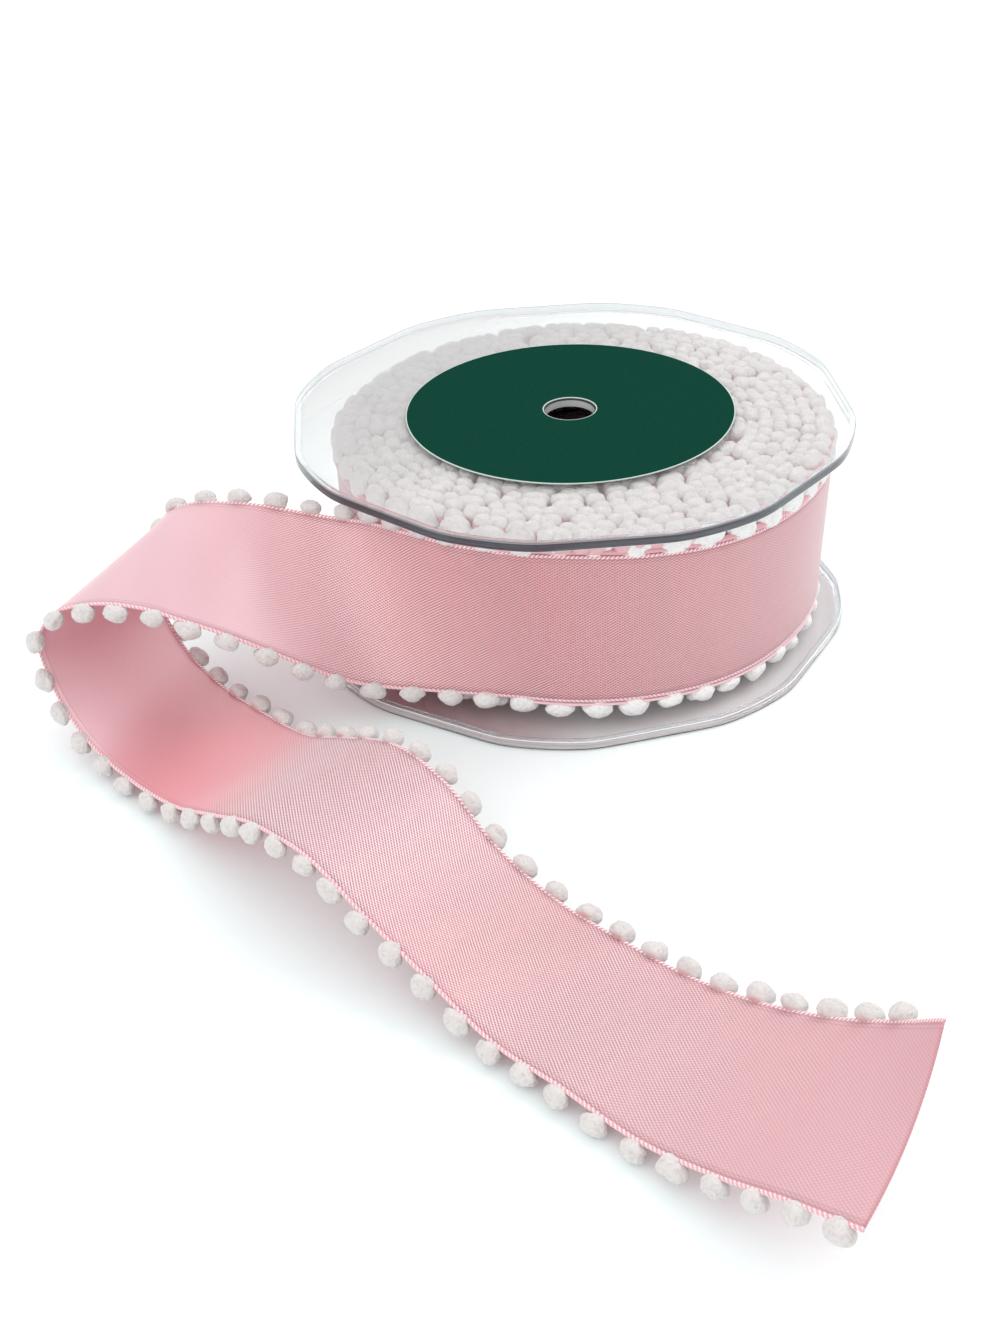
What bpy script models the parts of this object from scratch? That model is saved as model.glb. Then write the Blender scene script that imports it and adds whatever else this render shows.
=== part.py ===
"""Pompom-edge ribbon wound on a clear plastic reel that lies flat, with its loose end on the table.

The loose end leaves the front of the roll, leans back, folds over on the left and runs forward along
the table, over one hump, to a cut end that curls up. Sizes are in metres, and z = 0 is the table.
"""

import math
from collections import namedtuple

import bmesh
import bpy
import numpy as np
from mathutils import Vector

MM = 0.001
COLLECTION_NAME = "pompom_edge_ribbon"
GAP = 0.3 * MM                        # between pieces that touch
MERGE_DISTANCE = 0.01 * MM
SMOOTH_ANGLE = math.radians(40)       # edges sharper than this stay sharp
YARN_SMOOTH_ANGLE = math.radians(60)

# Reel: two clear flanges on a hollow hub
REEL_HEIGHT = 54.6 * MM
FLANGE_RADIUS = 69.8 * MM             # to the round corners
FLANGE_ACROSS_FLATS = 136.2 * MM
FLANGE_FLATS = 8
CORNER_STEPS = 3                      # straight steps along each round corner
TOP_FLANGE_TURN = math.radians(4)     # direction of the middle of one flat side
BOTTOM_FLANGE_TURN = math.radians(14)
RIM_HEIGHT = 2.4 * MM
RIM_WIDTH = 1.6 * MM
WEB_INSET = 0.9 * MM                  # from the rim's outer edge in to the thin web
WEB_THICKNESS = 1.0 * MM
BORE_RADIUS = 6.0 * MM
HUB_RADIUS = 15.0 * MM
LABEL_RADIUS = 40.7 * MM
LABEL_THICKNESS = 0.4 * MM
ROUND_STEPS = 48

# Roll of wound ribbon, a little off the reel's axis because its last turns are loose
ROLL_CENTRE = Vector((2.5 * MM, -0.4 * MM))
ROLL_RADIUS = 60.0 * MM
ROLL_BOTTOM = 8.2 * MM
ROLL_TOP = 46.1 * MM
ROLL_STEPS = 72
CUTTER_MARGIN = 5.0 * MM              # how far the hub's cutter passes both ends of the roll

# Ribbon and its pompoms
RIBBON_WIDTH = 38.1 * MM
SHEET_THICKNESS = 1.0 * MM
SHEET_STEP = 0.6                      # along the ribbon, in pompom pitches
NEARBY = 0.05                         # step for measuring directions on the cloth
STRIP_WIDTH = 1.0 * MM                # the woven edge that the pompoms hang from
STRIP_GAP = 0.4 * MM                  # between the woven edge and the rest of the cloth
STRIP_THICKNESS = 1.2 * MM
POMPOM_PITCH = 8.8 * MM
POMPOM_SIZE = 6.2 * MM
POMPOM_ROOT = 0.25                    # half of a pompom's root on the woven edge, in pitches
POMPOM_OUT = 2.0 * MM                 # from the ribbon's edge to the pompom's middle
POMPOM_TIP = 4.6 * MM                 # from the ribbon's edge to the pompom's far side
POMPOM_TIP_SIZE = 3.4 * MM
POMPOM_SAG = 1.4 * MM                 # how far a pompom hangs below a level ribbon

# Pompoms of the wound turns, fused into one lumpy slab at each end of the roll
FIELD_RADIUS = 57.0 * MM
FIELD_HEIGHT = 4.4 * MM
FIELD_LUMP = 0.6 * MM
FIELD_RADII = [r * MM for r in (15.3, 36.0, 42.0, 46.0, 50.0, 53.5, 57.0)]
FIELD_POMPOMS = 43
FIELD_TIP = 6.0 * MM                  # from the slab's wall to the pompom's far side
FIELD_WIDEST = 2.7 * MM               # from the slab's wall to the pompom's widest place
FIELD_POMPOM_HEIGHT = 4.6 * MM
LOOSE_TURN_START = math.radians(198)  # the loose turn's own pompoms stand from here
LOOSE_TURN_END = math.radians(257)    # to here, and the slabs have none there

# The loose end, a row for each straight section across the ribbon. along is in pompom pitches, the
# middle of the section in mm from the reel's axis, heading and rise give the direction from the low
# edge to the top edge in degrees, and bow is how far the section bulges towards the outer face in mm.
Section = namedtuple("Section", "along x y z heading rise bow")
SECTIONS = [
    Section(-3.0, -15.0, -60.0, 27.0, 76, 88, 0.0),
    Section(-1.0, -31.5, -54.0, 27.0, 77, 82, 0.0),
    Section(0.0, -39.5, -50.5, 27.0, 72, 75, -1.3),
    Section(1.0, -47.0, -47.0, 27.0, 71, 66, -3.3),
    Section(2.0, -54.0, -44.5, 28.0, 72, 49, -3.6),
    Section(3.0, -61.0, -42.0, 29.0, 75, 36, -2.0),
    Section(4.0, -69.0, -41.5, 32.0, 76, 30, 0.0),
    Section(6.0, -86.0, -41.0, 38.0, 78, 22, 0.3),
    Section(8.0, -102.5, -38.0, 38.0, 78, 6, 3.0),
    Section(9.0, -109.0, -36.5, 34.0, 72, -3, 4.5),
    Section(10.0, -113.5, -36.0, 28.0, 61, -11, 3.5),
    Section(11.0, -115.0, -37.5, 20.0, 49, -12, 1.5),
    Section(12.0, -112.0, -42.0, 13.0, 45, -10, 0.3),
    Section(14.0, -102.5, -54.0, 6.0, 42, -4, 0.0),
    Section(16.0, -91.0, -67.0, 4.5, 42, 0, 0.0),
    Section(18.0, -79.0, -80.0, 6.0, 42, 0, 0.0),
    Section(20.0, -68.5, -92.0, 12.5, 43, 1, 0.0),
    Section(22.0, -57.5, -104.0, 19.0, 42, 2, 0.0),
    Section(24.0, -46.0, -117.0, 19.0, 43, -3, 0.0),
    Section(26.0, -35.0, -129.0, 12.0, 45, -8, 0.0),
    Section(28.0, -23.0, -141.5, 7.0, 46, -7, 0.0),
    Section(30.0, -11.0, -154.0, 4.5, 46, 0, 0.0),
    Section(32.0, 1.0, -166.0, 5.0, 45, 1, 0.0),
    Section(34.0, 13.0, -178.5, 7.0, 47, 8, 0.0),
    Section(36.0, 24.5, -191.0, 13.0, 48, 13, 0.0),
    Section(38.0, 34.5, -202.5, 21.0, 51, 18, 0.7),
    Section(39.5, 41.0, -211.0, 27.0, 59, 23, 2.0),
]

# Each edge's pompoms hang from these stretches of woven edge, in pompom pitches along the ribbon
EDGE_STRETCHES = [(-2.5, 3.5), (3.5, 7.5), (7.5, 10.5), (10.5, 13.5), (13.5, 18.5), (18.5, 24.5),
                  (24.5, 30.5), (30.5, 35.5), (35.5, 39.4)]


def material(name, colour, roughness, alpha=1.0):
    """A Principled material of one colour."""
    made = bpy.data.materials.new(name)
    made.use_nodes = True
    shader = made.node_tree.nodes["Principled BSDF"]
    shader.inputs["Base Color"].default_value = (*colour, 1.0)
    shader.inputs["Roughness"].default_value = roughness
    shader.inputs["Metallic"].default_value = 0.0
    shader.inputs["Alpha"].default_value = alpha
    return made


def clear_plastic():
    return material("clear_plastic", (0.86, 0.87, 0.89), 0.12, alpha=0.35)


def pink_satin():
    return material("pink_satin", (0.80, 0.47, 0.52), 0.42)


def white_yarn():
    return material("white_yarn", (0.83, 0.81, 0.80), 0.95)


def label_card():
    return material("label_card", (0.01, 0.10, 0.06), 0.5)


def add_object(name, mesh, finish, smooth_angle=SMOOTH_ANGLE):
    """Puts a mesh in the part's collection, under its assembly empty."""
    made = bpy.data.objects.new(name, mesh)
    mesh.materials.append(finish)
    mesh.shade_smooth()
    mesh.set_sharp_from_angle(angle=smooth_angle)
    bpy.data.collections[COLLECTION_NAME].objects.link(made)
    made.parent = bpy.data.objects[COLLECTION_NAME]
    return made


def mesh_from(name, bm):
    """Turns a finished bmesh into a mesh whose faces point out."""
    bmesh.ops.recalc_face_normals(bm, faces=bm.faces)
    mesh = bpy.data.meshes.new(name)
    bm.to_mesh(mesh)
    bm.free()
    return mesh


def flange_outline():
    """Directions of the points round a flange, whose flat sides are joined by round corners."""
    half_flat = math.acos(FLANGE_ACROSS_FLATS / 2 / FLANGE_RADIUS)
    side = math.tau / FLANGE_FLATS
    corner_step = (side - 2 * half_flat) / CORNER_STEPS
    return [k * side + half_flat + step * corner_step
            for k in range(FLANGE_FLATS) for step in range(CORNER_STEPS + 1)]


def circle(radius, z, directions):
    """A level ring of points round the reel's axis."""
    return [(radius * math.cos(a), radius * math.sin(a), z) for a in directions]


def join_rings(bm, rings):
    """Joins each ring of points to the next one, and the last to the first, by faces."""
    rows = [[bm.verts.new(point) for point in ring] for ring in rings]
    count = len(rows[0])
    for row, following in zip(rows, rows[1:] + rows[:1]):
        for k in range(count):
            ahead = (k + 1) % count
            bm.faces.new((row[k], row[ahead], following[ahead], following[k]))
    return rows


def add_flange(name, rim_outer_z, inward, turn):
    """A thin web with a raised rim, from the round bore to the flat-sided outline."""
    directions = [a + turn for a in flange_outline()]
    rim_inner_z = rim_outer_z + inward * RIM_HEIGHT
    web_outer_z = rim_outer_z + inward * WEB_INSET
    web_inner_z = web_outer_z + inward * WEB_THICKNESS
    inside_rim = FLANGE_RADIUS - RIM_WIDTH
    profile = [
        (BORE_RADIUS, web_outer_z),
        (BORE_RADIUS, web_inner_z),
        (inside_rim, web_inner_z),
        (inside_rim, rim_inner_z),
        (FLANGE_RADIUS, rim_inner_z),
        (FLANGE_RADIUS, rim_outer_z),
        (inside_rim, rim_outer_z),
        (inside_rim, web_outer_z),
    ]
    bm = bmesh.new()
    join_rings(bm, [circle(radius, z, directions) for radius, z in profile])
    add_object(name, mesh_from(name, bm), clear_plastic())


def add_turned(name, inner, outer, bottom, top, finish):
    """A flat-ended ring or tube, turned from its profile round the reel's axis."""
    corners = [(outer, top), (outer, bottom), (inner, bottom), (inner, top)]
    bm = bmesh.new()
    verts = [bm.verts.new((radius, 0, z)) for radius, z in corners]
    for k, vert in enumerate(verts):
        bm.edges.new((vert, verts[(k + 1) % len(verts)]))
    mesh = bpy.data.meshes.new(name)
    bm.to_mesh(mesh)
    bm.free()
    made = add_object(name, mesh, finish)
    screw = made.modifiers.new("turn", "SCREW")
    screw.steps = ROUND_STEPS
    screw.render_steps = ROUND_STEPS
    screw.use_merge_vertices = True
    screw.merge_threshold = MERGE_DISTANCE
    screw.use_smooth_shade = False


def add_cylinder(name, radius, bottom, top, centre, steps):
    """A closed cylinder mesh that stands upright."""
    bm = bmesh.new()
    bmesh.ops.create_cone(bm, cap_ends=True, segments=steps, radius1=radius, radius2=radius,
                          depth=top - bottom)
    bmesh.ops.translate(bm, verts=bm.verts, vec=(*centre, (top + bottom) / 2))
    return mesh_from(name, bm)


def add_roll():
    """The wound turns as one solid, with a hole for the hub."""
    roll = add_object("ribbon_winding",
                      add_cylinder("ribbon_winding", ROLL_RADIUS, ROLL_BOTTOM, ROLL_TOP,
                                   ROLL_CENTRE, ROLL_STEPS), pink_satin())
    cutter = bpy.data.objects.new(
        "hub_hole_cutter",
        add_cylinder("hub_hole_cutter", HUB_RADIUS + GAP, ROLL_BOTTOM - CUTTER_MARGIN,
                     ROLL_TOP + CUTTER_MARGIN, (0, 0), ROUND_STEPS))
    bpy.data.collections["cutters"].objects.link(cutter)
    cutter.parent = bpy.data.objects[COLLECTION_NAME]
    cutter.hide_render = True
    cutter.display_type = "WIRE"
    cut = roll.modifiers.new("hub_hole", "BOOLEAN")
    cut.operation = "DIFFERENCE"
    cut.object = cutter


def grow_pompom(bm, root, rings):
    """Draws a face of the backing out through the rings of a four-sided lump."""
    tip = bmesh.ops.extrude_discrete_faces(bm, faces=[root])["faces"][0]
    for k, (middle, side, rise) in enumerate(rings):
        if k:
            tip = bmesh.ops.extrude_discrete_faces(bm, faces=[tip])["faces"][0]
        centre = tip.calc_center_median()
        for vert in tip.verts:
            offset = vert.co - centre
            vert.co = middle + math.copysign(1, offset.dot(side)) * side \
                + math.copysign(1, offset.dot(rise)) * rise


def add_pompom_field(name, roll_face_z, outward):
    """The wound turns' pompoms at one end of the roll: a lumpy slab with pompoms round its rim."""
    stations = 2 * FIELD_POMPOMS
    directions = [math.tau * k / stations for k in range(stations)]
    face_z = roll_face_z + outward * GAP

    def lumpy(radius_index, station):
        return FIELD_LUMP * math.cos(math.pi * (radius_index + station)) * (radius_index > 0)

    def field_ring(radius, radius_index):
        return [(radius * math.cos(a), radius * math.sin(a),
                 face_z + outward * (FIELD_HEIGHT + lumpy(radius_index, k)))
                for k, a in enumerate(directions)]

    rings = [circle(FIELD_RADII[0], face_z, directions), circle(FIELD_RADIUS, face_z, directions)]
    rings += [field_ring(radius, k) for k, radius in reversed(list(enumerate(FIELD_RADII)))]
    bm = bmesh.new()
    rows = join_rings(bm, rings)
    middle_z = face_z + outward * (FIELD_HEIGHT + FIELD_LUMP) / 2
    for k in range(0, stations, 2):
        direction = (directions[k] + math.pi / stations) % math.tau
        if LOOSE_TURN_START < direction < LOOSE_TURN_END:
            continue
        root_verts = {rows[1][k], rows[1][k + 1], rows[2][k], rows[2][k + 1]}
        root = next(face for face in bm.faces if set(face.verts) == root_verts)
        out = Vector((math.cos(direction), math.sin(direction), 0))
        along = Vector((-out.y, out.x, 0))
        reach = [(FIELD_WIDEST, POMPOM_SIZE / 2, FIELD_POMPOM_HEIGHT / 2),
                 (FIELD_TIP, POMPOM_TIP_SIZE / 2, POMPOM_TIP_SIZE / 2)]
        grow_pompom(bm, root, [(out * (FIELD_RADIUS + r) + Vector((0, 0, middle_z)),
                                along * width, Vector((0, 0, height)))
                               for r, width, height in reach])
    add_object(name, mesh_from(name, bm), white_yarn(), smooth_angle=YARN_SMOOTH_ANGLE)


def read_section(at):
    """The section at any place along the ribbon, on a smooth curve through the table's rows."""
    table = np.array(SECTIONS)
    along, values = table[:, 0], table[:, 1:]
    slopes = np.gradient(values, along, axis=0)
    k = min(max(int(np.searchsorted(along, at, side="right")) - 1, 0), len(along) - 2)
    span = along[k + 1] - along[k]
    u = (at - along[k]) / span
    from_start = (2 * u**3 - 3 * u**2 + 1) * values[k] + (u**3 - 2 * u**2 + u) * span * slopes[k]
    from_end = (3 * u**2 - 2 * u**3) * values[k + 1] + (u**3 - u**2) * span * slopes[k + 1]
    return Section(at, *(from_start + from_end).tolist())


def section_middle(at):
    section = read_section(at)
    return Vector((section.x, section.y, section.z)) * MM


def cloth_point(at, across, half_width=RIBBON_WIDTH / 2):
    """A point of the loose end's middle surface. across is -1 at the low edge and 1 at the top edge."""
    section = read_section(at)
    heading, rise = math.radians(section.heading), math.radians(section.rise)
    cross = Vector((math.cos(rise) * math.cos(heading), math.cos(rise) * math.sin(heading),
                    math.sin(rise)))
    ahead = section_middle(at + NEARBY) - section_middle(at - NEARBY)
    outer_face = cross.cross(ahead).normalized()
    return (section_middle(at) + across * half_width * cross
            + section.bow * MM * (1 - across**2) * outer_face)


def edge_frame(at, side):
    """The edge's point, the way out of the cloth there, the way along the edge, and the cloth's normal."""
    point = cloth_point(at, side)
    along = (cloth_point(at + NEARBY, side) - cloth_point(at - NEARBY, side)).normalized()
    out = point - cloth_point(at, side * (1 - NEARBY))
    out = (out - out.dot(along) * along).normalized()
    return point, out, along, out.cross(along)


def add_tail():
    """The loose end's cloth, inside its woven edges."""
    first, last = SECTIONS[0].along, SECTIONS[-1].along
    stations = np.linspace(first, last, round((last - first) / SHEET_STEP) + 1)
    half_width = RIBBON_WIDTH / 2 - STRIP_WIDTH - STRIP_GAP
    columns = (-1.0, -0.5, 0.0, 0.5, 1.0)
    bm = bmesh.new()
    rows = [[bm.verts.new(cloth_point(at, across, half_width)) for across in columns]
            for at in stations]
    for row, following in zip(rows, rows[1:]):
        for k in range(len(columns) - 1):
            bm.faces.new((row[k], row[k + 1], following[k + 1], following[k]))
    tail = add_object("ribbon_tail", mesh_from("ribbon_tail", bm), pink_satin())
    cloth = tail.modifiers.new("cloth", "SOLIDIFY")
    cloth.thickness = SHEET_THICKNESS
    cloth.offset = 0.0
    cloth.use_even_offset = True


def edge_stations(start, end):
    """Where a woven edge has its sections: its ends, and both sides of each pompom's root."""
    gap = GAP / 2 / POMPOM_PITCH
    pompoms = range(math.ceil(start), math.floor(end) + 1)
    roots = [k + side for k in pompoms for side in (-POMPOM_ROOT, POMPOM_ROOT)]
    return [start + gap] + roots + [end - gap], len(roots) // 2


def settled(middle, side, rise):
    """Moves one ring of a pompom so that its corners are above the table and outside the roll."""
    corners = [middle + a * side + b * rise for a in (-1, 1) for b in (-1, 1)]
    from_roll = min((corner.xy - ROLL_CENTRE).length for corner in corners)
    outward = (middle.xy - ROLL_CENTRE).normalized().to_3d()
    below_table = -min(corner.z for corner in corners)
    short_of_roll = ROLL_RADIUS + 2 * GAP - from_roll
    middle = middle + max(0.0, short_of_roll) * outward + Vector((0, 0, max(0.0, below_table)))
    return middle, side, rise


def add_edge(name, side, start, end):
    """One stretch of woven edge with its pompoms."""
    stations, pompoms = edge_stations(start, end)
    frames = [edge_frame(at, side) for at in stations]
    bm = bmesh.new()
    rows = []
    for at, (point, _, _, normal) in zip(stations, frames):
        inner = cloth_point(at, side, RIBBON_WIDTH / 2 - STRIP_WIDTH)
        thick = normal * STRIP_THICKNESS / 2
        rows.append([bm.verts.new(corner)
                     for corner in (inner - thick, point - thick, point + thick, inner + thick)])
    outer_walls = []
    for row, following in zip(rows, rows[1:]):
        for k in range(4):
            ahead = (k + 1) % 4
            face = bm.faces.new((row[k], row[ahead], following[ahead], following[k]))
            if k == 1:
                outer_walls.append(face)
    bm.faces.new(rows[0])
    bm.faces.new(rows[-1][::-1])
    bmesh.ops.recalc_face_normals(bm, faces=bm.faces)
    for k in range(pompoms):
        before, after = frames[2 * k + 1], frames[2 * k + 2]
        point, out, along, normal = [(a + b) / 2 for a, b in zip(before, after)]
        sag = -normal * normal.z * POMPOM_SAG
        rings = [settled(point + out * reach + sag, along * size / 2, normal * size / 2)
                 for reach, size in ((POMPOM_OUT, POMPOM_SIZE), (POMPOM_TIP, POMPOM_TIP_SIZE))]
        grow_pompom(bm, outer_walls[2 * k + 1], rings)
    add_object(name, mesh_from(name, bm), white_yarn(), smooth_angle=YARN_SMOOTH_ANGLE)


def stand_on_origin(assembly):
    """Moves the assembly so that the origin is under the middle of its outline."""
    bpy.context.view_layer.update()
    depsgraph = bpy.context.evaluated_depsgraph_get()
    corners = np.array([corner for part in bpy.data.collections[COLLECTION_NAME].objects
                        if part.type == "MESH"
                        for corner in part.evaluated_get(depsgraph).bound_box])
    low, high = corners.min(axis=0), corners.max(axis=0)
    assembly.location = (-(low[0] + high[0]) / 2, -(low[1] + high[1]) / 2, -low[2])
    bpy.context.view_layer.update()


def build():
    for old in list(bpy.data.objects):
        bpy.data.objects.remove(old, do_unlink=True)
    for name in (COLLECTION_NAME, "cutters"):
        bpy.context.scene.collection.children.link(bpy.data.collections.new(name))
    assembly = bpy.data.objects.new(COLLECTION_NAME, None)
    bpy.data.collections[COLLECTION_NAME].objects.link(assembly)

    web_bottom = WEB_INSET + WEB_THICKNESS
    add_flange("reel_flange_bottom", 0.0, 1, BOTTOM_FLANGE_TURN)
    add_flange("reel_flange_top", REEL_HEIGHT, -1, TOP_FLANGE_TURN)
    add_turned("reel_hub", BORE_RADIUS, HUB_RADIUS, web_bottom + GAP, REEL_HEIGHT - web_bottom - GAP,
               clear_plastic())
    label_bottom = REEL_HEIGHT - WEB_INSET + GAP
    add_turned("reel_label", BORE_RADIUS, LABEL_RADIUS, label_bottom, label_bottom + LABEL_THICKNESS,
               label_card())
    add_roll()
    add_pompom_field("winding_pompoms_bottom", ROLL_BOTTOM, -1)
    add_pompom_field("winding_pompoms_top", ROLL_TOP, 1)
    add_tail()
    for edge, side in (("low", -1), ("top", 1)):
        for k, (start, end) in enumerate(EDGE_STRETCHES):
            add_edge(f"{edge}_edge_pompoms_{k + 1}", side, start, end)
    stand_on_origin(assembly)


build()
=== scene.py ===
"""Looks of a pompom-edge ribbon on its clear reel.

The ribbon is one pink satin cloth with roped edges and yarn pompoms. Its inner turns are one piece, and its
outer turn and loose end another. The reel's clear flanges, hub and bare label are finer than the frame's.
Lengths are in metres. A place on the ribbon is how far along it lies, in pompom pitches, and how far across,
from -1 at the low edge to 1 at the top edge. Points are first worked out from the reel's axis.
"""
import math
from collections import namedtuple

import bmesh
import bpy
import numpy as np
from mathutils import Matrix, Vector


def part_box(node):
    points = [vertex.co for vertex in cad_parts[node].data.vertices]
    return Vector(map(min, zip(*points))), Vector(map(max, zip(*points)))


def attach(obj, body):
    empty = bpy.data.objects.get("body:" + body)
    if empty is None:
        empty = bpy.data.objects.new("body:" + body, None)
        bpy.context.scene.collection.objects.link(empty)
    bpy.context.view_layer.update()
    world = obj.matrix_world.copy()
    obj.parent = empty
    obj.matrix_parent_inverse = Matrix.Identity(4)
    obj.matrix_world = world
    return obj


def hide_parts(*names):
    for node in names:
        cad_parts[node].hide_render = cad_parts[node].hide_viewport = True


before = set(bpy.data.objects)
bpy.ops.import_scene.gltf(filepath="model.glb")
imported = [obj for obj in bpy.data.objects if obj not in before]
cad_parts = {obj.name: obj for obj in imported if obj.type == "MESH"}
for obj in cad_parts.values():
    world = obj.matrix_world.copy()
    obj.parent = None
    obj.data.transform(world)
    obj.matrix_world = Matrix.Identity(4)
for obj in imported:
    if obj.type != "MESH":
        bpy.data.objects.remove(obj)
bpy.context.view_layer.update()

MM = 0.001
RANDOM_SEED = 17
BODY = "root"

# Camera, from the reel's axis
CAMERA_PLACE = np.array([-19.82, -408.65, 242.53]) * MM
CAMERA_TILT = math.radians(57.19)     # up from looking straight down
CAMERA_ROLL = math.radians(-2.27)
CAMERA_LENS = 48.58

# Reel
hub_low, hub_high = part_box("reel_hub")
AXIS = np.array([(hub_low.x + hub_high.x) / 2, (hub_low.y + hub_high.y) / 2, 0.0])
REEL_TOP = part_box("reel_flange_top")[1].z
FLANGE_RADIUS = 69.8 * MM             # to the round corners
FLANGE_HALF_ACROSS = 68.1 * MM        # to the flat sides
FLANGE_FLATS = 8
FLANGE_STEPS = 192
CORNER_EASE = 0.35 * MM               # how softly a flat side runs into a corner
TOP_FLANGE_TURN = math.radians(4)
BOTTOM_FLANGE_TURN = math.radians(14)
RIM_HEIGHT = 2.4 * MM
RIM_WIDTH = 1.6 * MM
RIM_ROUND = 0.28 * MM
# The line beside the rim's outer face is painted shade.
RIM_LINE = 0.14 * MM                  # height of a line of another tone beside the rim's outer face
WEB_INSET = 0.9 * MM
WEB_THICKNESS = 1.0 * MM
RIM_REACH = RIM_WIDTH * 1.1           # how far in from the flat sides the rim's faces lie
# The rim's line slot holds painted shade, and its rounding slot a painted highlight.
RIM_BLOCK, RIM_FACE, BORE_WALL, RIM_SHADE_LINE_BY_OUTER_FACE, RIM_ROUNDING_HIGHLIGHT = range(1, 6)    # slots after the web's
LOOKS_IN, LOOKS_OUT = 0.25, 0.85      # how squarely a block's face looks outward at most, the rim's at least
LOOKS_UP = 0.5                        # of a face's normal, below which the face counts as upright
SHARP_ANGLE = math.radians(35)        # between faces of the reel that are shaded apart
BORE_RADIUS = 6.0 * MM
BORE_LIP = 2.6 * MM                   # how far the bore's lip reaches inward from the rim's outer face
BORE_LIP_WALL = 0.8 * MM
HUB_RADIUS = 15.0 * MM
HUB_GAP = 0.3 * MM                    # from a tube's end to the flange
TUBE_WALL = 1.1 * MM
THIN_CLEAR = 0.88                     # share of the light that goes straight through a thin clear face

# The upper web's painted shade and the lower web's painted shade and pink reflection: the way they thicken,
# and from where to where from the axis
UPPER_SHADE_WAY = np.array([-0.75, 0.66, 0.0])
UPPER_SHADE_REACH = (0 * MM, 62 * MM)
SHADE_WAY = np.array([-0.96, -0.28, 0.0])
SHADE_REACH = (18 * MM, 60 * MM)

# Label
LABEL_RADIUS = 40.7 * MM
LABEL_EDGE = 0.25 * MM
LABEL_HOLE = 6.5 * MM
LABEL_THICKNESS = 0.25 * MM
LABEL_EASE = 0.08 * MM                # bevel of its top corners
LABEL_RING = 20 * MM                  # a ring of points on its face

# Ribbon
RIBBON_WIDTH = 38.1 * MM
CLOTH_THICKNESS = 0.36 * MM
PITCH = 8.8 * MM                      # from pompom to pompom
ROLL_CENTRE = np.array([2.5, -0.4]) * MM
ROLL_MIDDLE_Z = 27.2 * MM
LEAVING_ANGLE = math.radians(253.6)   # where the loose end leaves the roll
LEAVES = -3.0                         # the same place along the ribbon
INNER_TURNS = 13
INNERMOST_RADIUS = 15.9 * MM
WOUND_STEPS = 6000                    # for measuring the wound length
CLOTH_STEP = 1.1 * MM
CLOTH_COLUMNS = 25
INNER_STEP = 3.0 * MM
INNER_COLUMNS = 5

# The outer turn, by how far it is followed back from the loose end: how far it lies from the roll's
# centre, how far its top edge leans in, and how far it has slipped up
OUTER_TURN = np.array([
    # degrees, mm, degrees, mm
    (0, 61.4, 2.0, 0.5), (10, 61.4, 3.0, 0.5), (25, 61.4, 1.5, 0.0), (45, 61.6, -1.0, -0.7),
    (75, 61.2, -2.5, -1.0), (107, 61.6, -2.0, -0.9), (150, 62.2, 0.0, -0.4), (220, 61.4, 0.0, 0.0),
    (300, 60.8, 0.0, 0.0), (360, 60.3, 0.0, 0.0),
])

# The loose end, a row for each straight section across it. The middle is in mm from the reel's axis,
# heading and rise give the way from the low edge to the top edge in degrees, and bow is how far the
# section bulges towards the outer face in mm.
Section = namedtuple("Section", "along x y z heading rise bow")
SECTIONS = np.array([
    Section(-3.0, -14.8, -59.3, 27.7, 76, 88, 0.0),
    Section(-1.0, -31.5, -54.0, 27.5, 77, 82, -0.4),
    Section(0.0, -39.5, -50.5, 27.3, 73, 75, -1.3),
    Section(1.0, -47.0, -47.2, 27.2, 71, 65, -2.2),
    Section(2.0, -54.0, -44.8, 28.2, 72, 51, -2.5),
    Section(3.0, -61.2, -43.2, 30.0, 75, 39, -2.0),
    Section(4.0, -69.2, -42.3, 32.7, 76, 31, -1.1),
    Section(6.0, -86.0, -41.0, 38.0, 78, 21, 0.2),
    Section(8.0, -102.5, -38.0, 38.0, 78, 6, 1.5),
    Section(9.0, -109.0, -36.5, 34.0, 72, -3, 2.2),
    Section(10.0, -113.5, -36.0, 28.0, 61, -11, 2.2),
    Section(11.0, -115.0, -37.5, 20.0, 49, -12, 1.2),
    Section(12.0, -112.0, -42.0, 13.0, 45, -10, 0.3),
    Section(14.0, -102.5, -54.0, 6.0, 42, -4, 0.0),
    Section(16.0, -91.0, -67.0, 4.5, 42, 0, 0.0),
    Section(18.0, -79.0, -80.0, 6.0, 42, 0, 0.0),
    Section(20.0, -68.5, -92.0, 12.5, 43, 1, 0.0),
    Section(22.0, -57.5, -104.0, 19.0, 42, 2, 0.0),
    Section(24.0, -46.0, -117.0, 19.0, 43, -3, 0.0),
    Section(26.0, -35.0, -129.0, 12.0, 45, -8, 0.0),
    Section(28.0, -23.0, -141.5, 7.0, 46, -7, 0.0),
    Section(30.0, -11.0, -154.0, 4.5, 46, 0, 0.0),
    Section(32.0, 1.0, -166.0, 5.0, 45, 1, 0.0),
    Section(34.0, 13.0, -178.5, 7.0, 47, 8, 0.0),
    Section(36.0, 24.5, -191.0, 13.0, 48, 13, 0.0),
    Section(38.0, 34.5, -202.5, 21.0, 51, 18, 0.7),
    Section(39.5, 41.0, -211.0, 27.0, 59, 23, 2.0),
])
RIBBON_END = SECTIONS[-1, 0]

# Soft creases, each a straight ridge on the cloth, or a trough where its height is below 0
CREASES = (
    # from place along and across, to place along and across, half width, height
    (6.4, 1.2, 3.2, -0.6, 8.0 * MM, -0.8 * MM),
    (8.0, 0.4, 7.7, -1.0, 3.2 * MM, -0.35 * MM),
    (7.2, 0.6, 6.9, -1.0, 4.0 * MM, 0.3 * MM),
    (23.0, -1.2, 21.4, 1.2, 7.0 * MM, 0.5 * MM),
)
CREASE_FULL, CREASE_FADE = 0.3, 0.2   # share of its length from its middle that is full, and fades
NEARBY = 0.05                         # step for measuring directions on the cloth

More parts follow.
